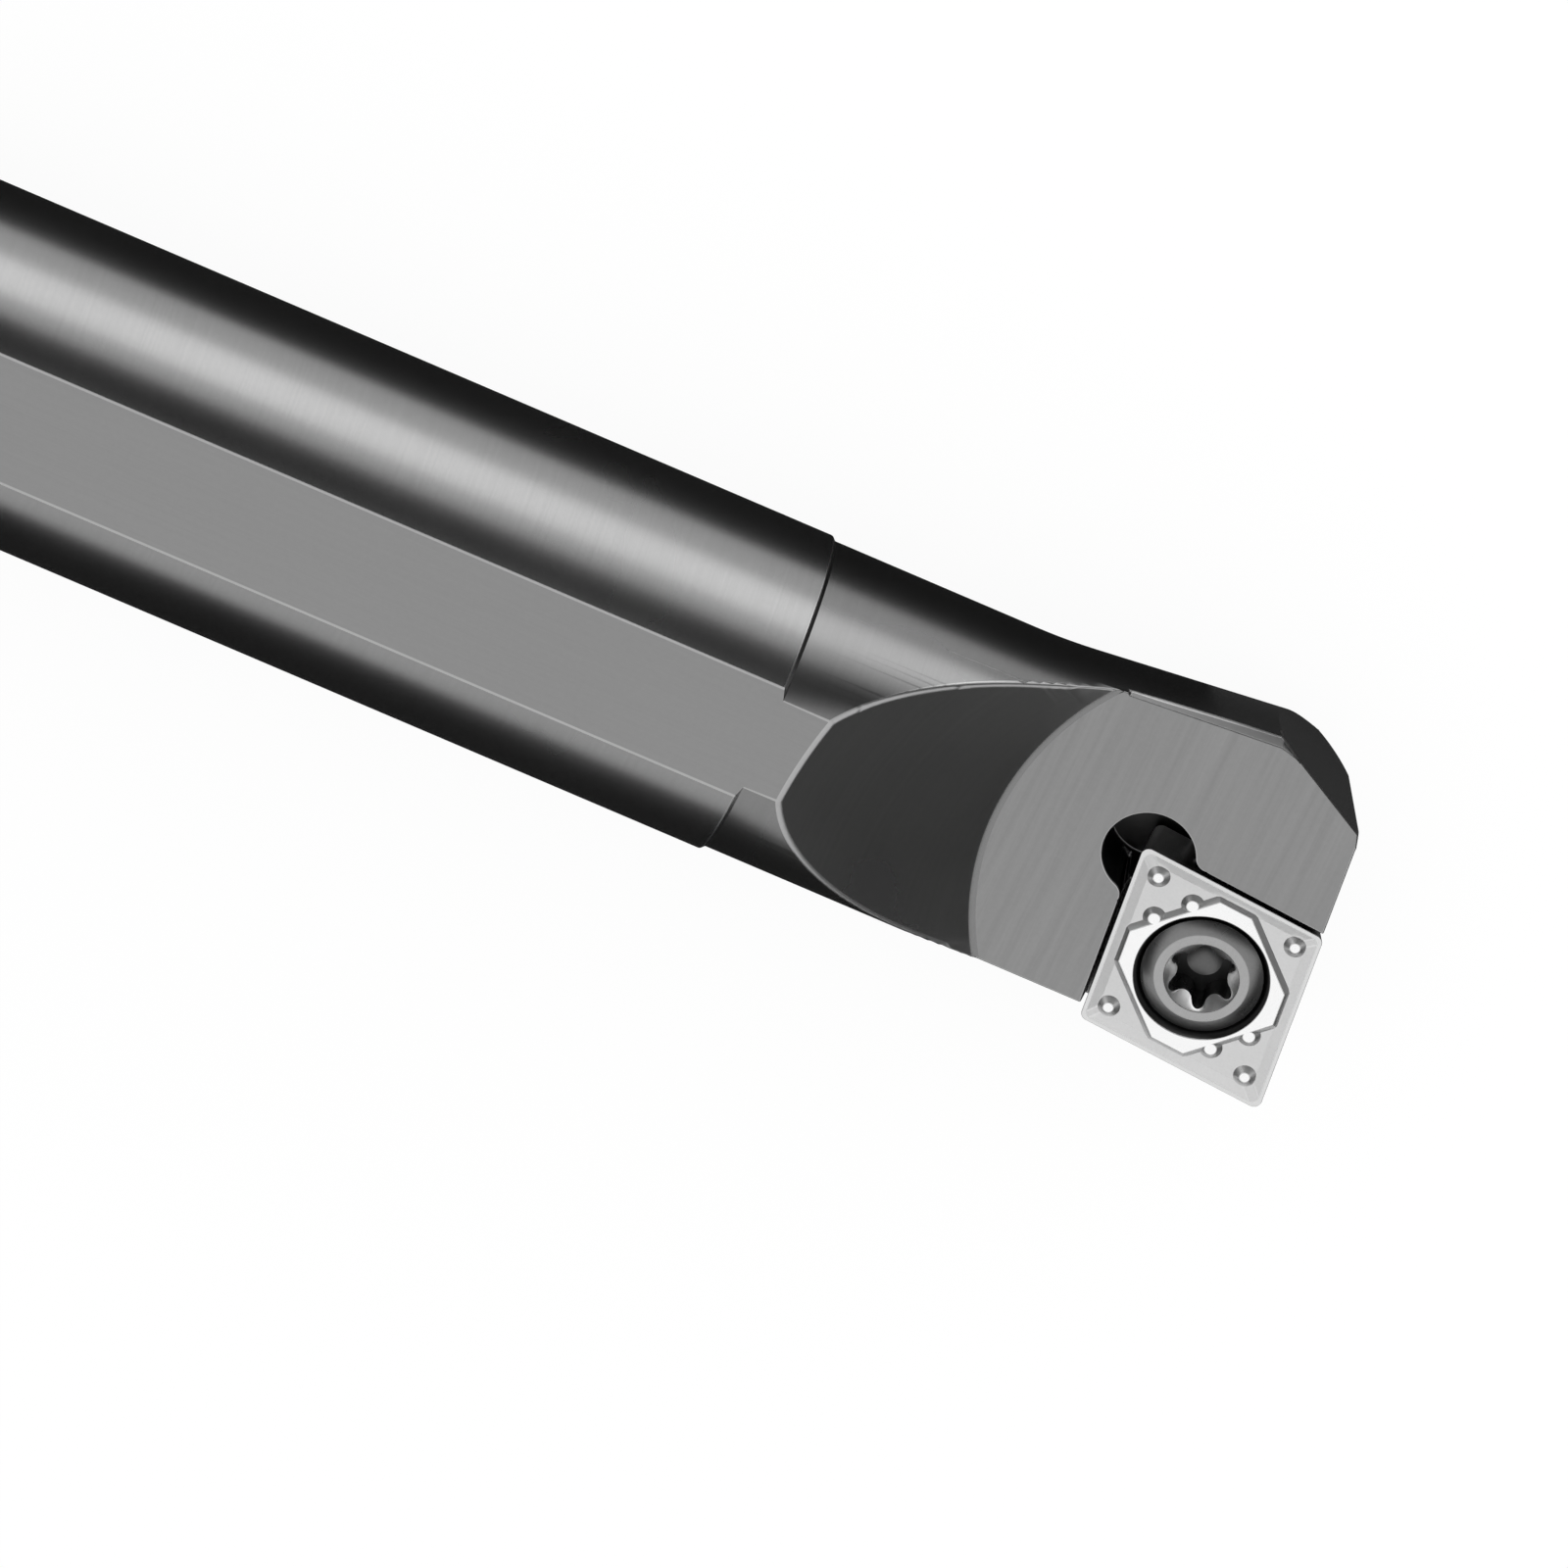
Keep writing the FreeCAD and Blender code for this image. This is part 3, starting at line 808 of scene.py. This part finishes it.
# the second slot of each piece holds the finish of its broken edges
barSlots = [
    "steelTurned", "steelEdgeWearAndHighlight", "steelMilled", "steelFace", "steelGullet",
    "steelNeckShade", "steelFaced", "steelPocketShade", "steelBandShade",
]
turnedSlot, edgeSlot, milledSlot, faceSlot, gulletSlot, neckShadeSlot, facedSlot, pocketShadeSlot, bandShadeSlot = range(9)


def onStep(edge):
    stepStart = noseX - bar["headLength"]
    stepEnd = stepStart + bar["shankRadius"] - bar["neckRadius"]
    return all(stepStart - near < v.co.x < stepEnd + near for v in edge.verts)


def finishesAt(edge):
    return {face.material_index for face in edge.link_faces}


def onRim(edge):
    return finishesAt(edge) in ({milledSlot, gulletSlot}, {gulletSlot, neckShadeSlot})


def onHighRim(edge):                       # the rim's low ends are a shallow wedge and get the narrow break
    return onRim(edge) and all(faceHeight(v.co) > bar["rimLow"] for v in edge.verts)


def onBandTop(edge):
    start = noseX - bar["bandBreakStart"]
    return finishesAt(edge) == {neckShadeSlot, bandShadeSlot} and all(v.co.x > start for v in edge.verts)


def onSmooth(edge):                        # slivers in the gullet and along the turned neck stay
    run = edge.verts[1].co - edge.verts[0].co
    along = abs(run.x) > 0.99 * run.length and all(v.co.y > near - bar["shankRadius"] for v in edge.verts)
    return finishesAt(edge) == {gulletSlot} or (along and finishesAt(edge) in ({turnedSlot}, {neckShadeSlot}))


def inHole(point):
    return (seatFrame.inverted() @ point).to_2d().length < screw["shaft"] + screw["holeMargin"]


def inPocket(face):
    spot = seatFrame.inverted() @ face.calc_center_median()
    inner = plateCorner(plate["inscribed"], 2)
    walls = max((spot - inner).dot(heading(180 - turn)) for turn in (-plate["lead"], 90 - plate["lead"]))
    hole = inner - heading(noseHeading + 180, bar["reliefInset"])
    nearHole = (spot - hole).to_2d().length < bar["reliefRadius"] + bar["reliefBlend"]
    return -plate["thickness"] - bar["reliefDepth"] - 0.1 < spot.z < -0.02 and (walls < 0.6 or nearHole)


def onNeck(face):
    return face.material_index == turnedSlot and face.calc_center_median().x > neckStart - near


def inBand(face):
    middle = face.calc_center_median()
    leans = abs(face.normal.dot(up) - degCos(bar["bandAngle"])) < 0.01
    inZone = middle.x > noseX - bar["bandZone"][0] and faceHeight(middle) < 0
    return face.material_index == neckShadeSlot and leans and inZone


def frontSide(face):
    middle = face.calc_center_median()
    inZone = middle.x > noseX - bar["frontZone"] and middle.y > 0 and faceHeight(middle) < -1
    return face.material_index == edgeSlot and inZone


def atBandFoot(face):
    middle = face.calc_center_median()
    back, side = bar["bandZone"]
    nearBand = middle.x > noseX - back and middle.y > side and faceHeight(middle) > -0.3
    return face.material_index == edgeSlot and nearBand and face.normal.dot(up) > 0.6


barBody = buildBody()
joinDoubles(barBody)
addSlots(barBody, barSlots)
up = faceFrame.to_3x3() @ Vector((0, 0, 1))
neckStart = noseX - bar["headLength"]
paint(barBody, milledSlot, lambda f: abs(f.normal.z) > 0.9999)
paint(barBody, faceSlot, lambda f: f.normal.dot(up) > 0.9999)
paint(barBody, gulletSlot, inGullet)
# painted shade: the head's turned faces take the darker neck finish
paint(barBody, neckShadeSlot, onNeck)
paint(barBody, facedSlot, lambda f: f.normal.x < -0.99)
# painted shade: the pocket's walls and relief hole go near black
paint(barBody, pocketShadeSlot, inPocket)
# painted shade: the chamfer band goes darker than the face
paint(barBody, bandShadeSlot, inBand)
breakEdges(barBody, bar["sharpAngle"], bar["breakSegments"], [
    (bar["rimBreak"], onHighRim),
    (bar["bandBreak"], onBandTop),
    (bar["stepBreak"], lambda e: onStep(e) and all(v.co.x < neckStart + near for v in e.verts)),
    (bar["edgeBreak"], lambda e: not (onHighRim(e) or onBandTop(e) or onStep(e) or onSmooth(e))),
])
paint(barBody, faceSlot, atBandFoot)
# the broken edges on the front side take the neck's painted shade too
paint(barBody, neckShadeSlot, frontSide)
for tool in tappedHole():
    combine(barBody, tool)
# painted shade: the tapped hole's walls go near black as well
paint(barBody, pocketShadeSlot, lambda f: f.material_index == turnedSlot and inHole(f.calc_center_median()))
finishPiece(barBody, "bar_body")


# Insert

def rhombusOutline(inscribed, level, steps=8):
    points = []
    for index in range(4):
        half = cornerHalf(index)
        angle = noseHeading + 90 * index
        centre = heading(angle, (inscribed - plate["noseRadius"]) / degSin(half))
        points += arcPoints(centre, plate["noseRadius"], angle - 90 + half, angle + 90 - half, steps)
    return [point + Vector((0, 0, level)) for point in points]


def islandOutline(grow, level):
    sides = []
    for index in range(4):
        angle = noseHeading + 90 * index
        sides.append((angle, plate["islandLong"] if index % 2 == 0 else plate["islandShort"]))
        sides.append((angle + 90 - cornerHalf(index), plate["inscribed"] - plate["islandEdgeGap"]))
    points = []
    for (angleA, reachA), (angleB, reachB) in zip(sides, sides[1:] + sides[:1]):
        meet = Matrix((heading(angleA).to_2d(), heading(angleB).to_2d())).inverted()
        points.append((meet @ Vector((reachA + grow, reachB + grow))).to_3d() + Vector((0, 0, level)))
    return points


def chipGroove():
    grow = plate["slopeRun"] / plate["slopeDepth"]
    inner = plate["inscribed"] - plate["land"]
    groove = prism(
        "groove",
        rhombusOutline(inner - plate["slopeRun"], -plate["slopeDepth"]),
        rhombusOutline(inner + over * grow, over),
    )
    draft = plate["islandDraft"] / plate["slopeDepth"]
    deep = plate["slopeDepth"] + over
    island = prism("island", islandOutline(deep * draft, -deep), islandOutline(-2 * over * draft, 2 * over))
    for lobe in islandLobes(draft, -deep):
        combine(island, lobe, "UNION")
    combine(groove, island)
    for dome in domes(-deep):
        combine(groove, dome)
    return groove


def button(spot, radius, draft, low, high):
    clearSelection()
    bpy.ops.mesh.primitive_cone_add(
        vertices=48, radius1=radius - low * draft, radius2=radius - high * draft,
        depth=high - low, location=spot + Vector((0, 0, (low + high) / 2)),
    )
    return place(bpy.context.object, Matrix.Identity(4))


def islandLobes(draft, low):
    lobes = []
    for angle in (noseHeading, noseHeading + 180):
        for side in (-1, 1):
            spot = heading(angle, plate["islandLong"] + plate["lobeOffset"])
            spot += heading(angle + 90, side * plate["lobePitch"] / 2)
            lobes.append(button(spot, plate["lobeTop"], draft, low, over * 1.1))
    return lobes


def domes(low):
    draft = (plate["domeFoot"] - plate["domeTop"]) / plate["slopeDepth"]
    caps = []
    for index in range(4):
        reach = longReach - plate["domeLong"] if index % 2 == 0 else shortReach - plate["domeShort"]
        spot = heading(noseHeading + 90 * index, reach)
        caps.append(button(spot, plate["domeTop"], draft, low, over * 0.7))
    return caps


def boreTool():
    bore, mouth = plate["bore"], plate["mouth"]
    slope = degTan(plate["sinkAngle"])
    under = -plate["thickness"] - over
    return turned("boreTool", [
        (0, 0, over),
        (mouth + over * slope, 0, over),
        (bore, 0, -(mouth - bore) / slope),
        (bore, 0, under),
        (0, 0, under),
    ], axis=(0, 0, 1), steps=128)


def buildPlate():
    slope = plate["thickness"] * degTan(plate["flank"])
    body = prism(
        "insertBody",
        rhombusOutline(plate["inscribed"] - slope, -plate["thickness"]),
        rhombusOutline(plate["inscribed"], 0),
    )
    combine(body, chipGroove())
    combine(body, boreTool())
    return body


def sideReach(point):
    return max(point.dot(heading(noseHeading + 90 * index + 90 - cornerHalf(index))) for index in range(4))


def onFlank(face):
    return abs(face.normal.z) < 0.2 and face.calc_center_median().length > plate["mouth"]


def inBore(face):
    return abs(face.normal.z) < 0.9 and face.calc_center_median().to_2d().length < plate["mouth"]


def alongEdge(face):
    inner = plate["inscribed"] - plate["land"] - 0.2
    return face.material_index == landSlot and all(sideReach(v.co) > inner for v in face.verts)


insertSlots = [
    "carbide", "carbideEdge", "carbideGround", "carbideLand", "carbideBoreShade", "carbideSlope", "carbideRim",
]
groundSlot, landSlot, boreShadeSlot, slopeSlot, outerSlot = range(2, 7)
insertBody = buildPlate()
joinDoubles(insertBody)
addSlots(insertBody, insertSlots)
paint(insertBody, groundSlot, onFlank)
paint(insertBody, landSlot, lambda f: f.normal.z > 0.999 and abs(f.calc_center_median().z) < 1e-3)
# painted shade: the bore goes near black
paint(insertBody, boreShadeSlot, inBore)
paint(insertBody, slopeSlot, lambda f: 0.9 < f.normal.z < 0.95)
paint(insertBody, outerSlot, alongEdge)
breakEdges(insertBody, plate["sharpAngle"], plate["breakSegments"], [
    (plate["edgeBreak"], lambda e: all(abs(v.co.z) < 1e-3 for v in e.verts)),
])
place(insertBody, seatFrame)
finishPiece(insertBody, "insert", smooth=20)


# Screw

def socketOutline(level):
    tip, waist, lobe = screw["socketTip"], screw["socketWaist"], screw["socketLobe"]
    reach = (tip - lobe) * degCos(30)
    beside = (tip - lobe) * degSin(30)
    inward = reach - waist
    scoop = (inward ** 2 + beside ** 2 - lobe ** 2) / (2 * (lobe + inward))
    scoopCentre = waist + scoop
    swing = math.degrees(math.atan2(beside, scoopCentre - reach))
    lobeSwing = angleOf(heading(30, scoopCentre) - heading(0, tip - lobe))
    points = []
    for index in range(6):
        angle = screw["socketTurn"] + 60 * index
        points += arcPoints(heading(angle, tip - lobe), lobe, angle - lobeSwing, angle + lobeSwing, 8)
        back = angle + 30 + 180
        points += arcPoints(heading(angle + 30, scoopCentre), scoop, back + swing, back - swing, 8)[1:-1]
    return [point + Vector((0, 0, level)) for point in points]


def socketTools():
    proud, floor = screw["proud"], screw["proud"] - screw["socketDepth"]
    recess = prism("recess", socketOutline(floor), socketOutline(proud + over))
    wide = screw["socketTip"] + screw["leadIn"]
    leadIn = turned("leadIn", [
        (0, 0, proud + over),
        (wide + over, 0, proud + over),
        (screw["socketWaist"], 0, proud - wide + screw["socketWaist"]),
        (0, 0, proud - wide + screw["socketWaist"]),
    ], axis=(0, 0, 1), steps=96)
    drill = screw["drill"]
    cone = turned("drillCone", [
        (0, 0, floor + over),
        (drill, 0, floor + over),
        (drill, 0, floor),
        (0, 0, floor - drill * degTan(screw["drillAngle"])),
    ], axis=(0, 0, 1), steps=96)
    return [recess, leadIn, cone]


def buildScrew():
    head, shaft, proud = screw["head"], screw["shaft"], screw["proud"]
    root = shaft - screw["threadDepth"]
    slope = degTan(plate["sinkAngle"])
    mouth = plate["mouth"] - screw["seatGap"]
    neck = plate["bore"] - screw["neckGap"]
    seatLow = -(mouth - neck) / slope
    threadTop = seatLow - screw["neckLength"]
    tip = proud - screw["length"]
    blank = turned("screwBody", [
        (0, 0, proud),
        (screw["rim"], 0, proud),
        (head, 0, proud - screw["bevelDepth"]),
        (head, 0, -(mouth - head) / slope),
        (neck, 0, seatLow),
        (root - 0.02, 0, seatLow - (neck - root)),
        (root - 0.02, 0, threadTop - screw["pitch"]),
        (0, 0, threadTop - screw["pitch"]),
    ], axis=(0, 0, 1), steps=192)
    thread = threadRod(0)
    envelope = turned("envelope", [
        (0, 0, threadTop),
        (root, 0, threadTop),
        (shaft + over, 0, threadTop - (shaft + over - root) / 2),
        (shaft + over, 0, tip + screw["point"] + over),
        (shaft - screw["point"], 0, tip),
        (0, 0, tip),
    ], axis=(0, 0, 1), steps=96)
    combine(thread, envelope, "INTERSECT")
    combine(blank, thread, "UNION")
    for tool in socketTools():
        combine(blank, tool)
    return blank


def onRimTop(spot):
    return spot.z > screw["proud"] - 0.7 and spot.to_2d().length < screw["rim"]


def socketBottom(spot):
    floor = screw["proud"] - screw["socketDepth"]
    return spot.to_2d().length < screw["socketTip"] and abs(spot.z - floor) < 0.6


def onHead(edge):
    return all(v.co.z > screw["proud"] - screw["bevelDepth"] - 0.2 for v in edge.verts)


screwSlots = ["screwSteel", "screwEdge", "screwRim", "screwSocketShade", "screwLeadHighlight", "screwDrillShade"]
headSlot, socketShadeSlot, leadHighlightSlot, drillShadeSlot = range(2, 6)
screwBody = buildScrew()
joinDoubles(screwBody)
addSlots(screwBody, screwSlots)
paint(screwBody, headSlot, lambda f: f.normal.z > 0.99 and onRimTop(f.calc_center_median()))
# painted highlight: the socket's lead-in goes near white
paint(screwBody, leadHighlightSlot, lambda f: 0.6 < f.normal.z < 0.8 and onRimTop(f.calc_center_median()))
# painted shade: the drilled point goes dark grey
paint(screwBody, drillShadeSlot, lambda f: f.normal.z > 0.7 and socketBottom(f.calc_center_median()))
# painted shade: the socket's floor goes near black
paint(screwBody, socketShadeSlot, lambda f: f.normal.z > 0.99 and socketBottom(f.calc_center_median()))
breakEdges(screwBody, screw["sharpAngle"], screw["breakSegments"], [(screw["edgeBreak"], onHead)])
place(screwBody, seatFrame)
finishPiece(screwBody, "clamp_screw", smooth=20)


# Camera at the photo's viewing angle

shot = {
    "turn": 23.1,                          # the bar's slope in the picture
    "alongBar": (0.99519, 0.0306, 0.0931),
    "besideBar": (0, 0.95, -0.3123),
    "centre": (153.1, -4.04, -0.58),
    "width": 73.9,
    "distance": 1.2,
}


def addCamera():
    alongBar = Vector(shot["alongBar"]).normalized()
    beside = Vector(shot["besideBar"]).normalized()
    back = alongBar.cross(beside).normalized()
    beside = back.cross(alongBar)
    right = alongBar * degCos(shot["turn"]) + beside * degSin(shot["turn"])
    upward = back.cross(right)
    bpy.ops.object.camera_add()
    camera = bpy.context.object
    camera.data.lens = camera.data.sensor_width * shot["distance"] * mm / shot["width"]
    camera.data.clip_start = 0.01
    camera.data.clip_end = 20
    axes = Matrix((right, upward, back)).transposed().to_4x4()
    camera.matrix_world = Matrix.Translation(Vector(shot["centre"]) / mm + back * shot["distance"]) @ axes
    bpy.context.scene.camera = camera


# Studio: white floor and sky, one strip lamp beside the bar, black cards seen only in the metal

studio = {
    "headX": 0.165,
    "skyForLight": 0.6,
    "floor": {"radius": 8, "shade": 0.9, "glow": 1.08, "glowShare": 0.85},
    "blackCard": 0.04,
    "greyCard": 0.12,
    "strip": {"angle": 80.5, "spread": 16.5, "distance": 0.6, "length": 1.6, "radiance": 1.2},
    "cards": [
        {"angle": 34, "spread": 15.5, "distance": 0.4, "length": 1.6},
        {"angle": -87, "spread": 9, "distance": 0.4, "length": 1.6},
    ],
    "tipCard": {"elevation": 18, "distance": 0.35, "width": 1.0, "height": 0.2, "shift": 0.03},
    "rearCard": {"elevation": 26, "distance": 0.4, "width": 1.0, "height": 0.275, "shift": 0},
    "floorCard": {"start": -0.6, "end": 0.2, "near": 0.028, "far": -0.42},
    "tipFloor": {"start": 0.17, "end": 0.4, "near": 0.42, "far": -0.02},
    "tipFlag": {"start": 0.17, "end": 0.4, "side": 0.05, "height": 0.0235},
}


def floorLevel():
    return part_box("bar_body")[0].z


def stageCard(name, location, rotation, size, shade):
    clearSelection()
    bpy.ops.mesh.primitive_plane_add(size=1, location=location, rotation=rotation)
    card = bpy.context.object
    card.name = name
    card.scale = (size[0], size[1], 1)
    card.data.materials.append(shade)
    card.visible_camera = False
    card.visible_diffuse = False
    card.visible_shadow = False
    card.visible_transmission = False


def polar(angle, distance):
    turn = math.radians(angle)
    location = Vector((studio["headX"], math.sin(turn) * distance, math.cos(turn) * distance))
    return location, (-turn, 0, 0)


def addLamp(name, look):
    location, rotation = polar(look["angle"], look["distance"])
    across = 2 * look["distance"] * degTan(look["spread"])
    bpy.ops.object.light_add(type="AREA", location=location, rotation=rotation)
    lamp = bpy.context.object
    lamp.name = name
    lamp.data.shape = "RECTANGLE"
    lamp.data.size = look["length"]
    lamp.data.size_y = across
    lamp.data.energy = look["radiance"] * look["length"] * across * math.pi
    lamp.visible_camera = False


def matteMaterial(name, level):
    material = bpy.data.materials.new(name)
    material.use_nodes = True
    shader = material.node_tree.nodes["Principled BSDF"]
    setInputs(shader, {"Base Color": (*grey(level), 1), "Specular IOR Level": 0.0, "Roughness": 1.0})
    return material


def seenDirectly(tree):
    rays = newNode(tree, "ShaderNodeLightPath")
    first = newNode(tree, "ShaderNodeMath", operation="MAXIMUM")
    second = newNode(tree, "ShaderNodeMath", operation="MAXIMUM")
    tree.links.new(rays.outputs["Is Camera Ray"], first.inputs[0])
    tree.links.new(rays.outputs["Is Glossy Ray"], first.inputs[1])
    tree.links.new(first.outputs[0], second.inputs[0])
    tree.links.new(rays.outputs["Is Transmission Ray"], second.inputs[1])
    return second.outputs[0]


def addFloor():
    look = studio["floor"]
    clearSelection()
    middle = (studio["headX"], 0, floorLevel() - 1e-5)
    bpy.ops.mesh.primitive_circle_add(vertices=64, radius=look["radius"], fill_type="NGON", location=middle)
    floor = bpy.context.object
    floor.name = "floor"
    material = matteMaterial("paleFloor", look["shade"])
    tree = material.node_tree
    glow = newNode(tree, "ShaderNodeEmission")
    setInputs(glow, {"Strength": look["glow"]})
    mix = newNode(tree, "ShaderNodeMixShader")
    share = newNode(tree, "ShaderNodeMath", operation="MULTIPLY")
    share.inputs[1].default_value = look["glowShare"]
    tree.links.new(seenDirectly(tree), share.inputs[0])
    tree.links.new(share.outputs[0], mix.inputs["Fac"])
    tree.links.new(tree.nodes["Principled BSDF"].outputs["BSDF"], mix.inputs[1])
    tree.links.new(glow.outputs["Emission"], mix.inputs[2])
    tree.links.new(mix.outputs["Shader"], tree.nodes["Material Output"].inputs["Surface"])
    floor.data.materials.append(material)


def addSky():
    world = bpy.data.worlds.new("studio")
    bpy.context.scene.world = world
    world.use_nodes = True
    tree = world.node_tree
    strength = newNode(tree, "ShaderNodeMapRange")
    setInputs(strength, {"To Min": studio["skyForLight"], "To Max": 1.0})
    tree.links.new(seenDirectly(tree), strength.inputs["Value"])
    tree.links.new(strength.outputs["Result"], tree.nodes["Background"].inputs["Strength"])
    setInputs(tree.nodes["Background"], {"Color": (1, 1, 1, 1)})


def addCards():
    for index, card in enumerate(studio["cards"]):
        location, rotation = polar(card["angle"], card["distance"])
        across = 2 * card["distance"] * degTan(card["spread"])
        stageCard("card%d" % index, location, rotation, (card["length"], across), blackCard)
    for name, side in (("tipCard", 1), ("rearCard", -1)):
        look = studio[name]
        rise = math.radians(look["elevation"])
        away = Vector((side * math.cos(rise), 0, math.sin(rise))) * look["distance"]
        away += Vector((studio["headX"], look["shift"], 0))
        stageCard(name, away, (0, side * (math.pi / 2 - rise), 0), (look["height"], look["width"]), blackCard)
    for name, lift, shade in (("floorCard", 0, blackCard), ("tipFloor", 1e-5, greyCard)):
        look = studio[name]
        middle = ((look["start"] + look["end"]) / 2, (look["near"] + look["far"]) / 2, floorLevel() + lift)
        stageCard(name, middle, (0, 0, 0), (look["end"] - look["start"], look["near"] - look["far"]), shade)
    flag = studio["tipFlag"]
    middle = ((flag["start"] + flag["end"]) / 2, flag["side"], flag["height"] / 2 + floorLevel())
    stageCard("tipFlag", middle, (math.pi / 2, 0, 0), (flag["end"] - flag["start"], flag["height"]), blackCard)


blackCard = matteMaterial("blackCard", studio["blackCard"])
greyCard = matteMaterial("greyCard", studio["greyCard"])
addCamera()
addSky()
addFloor()
addCards()
addLamp("strip", studio["strip"])
bpy.context.scene.view_settings.view_transform = "Standard"
print("studio ready")
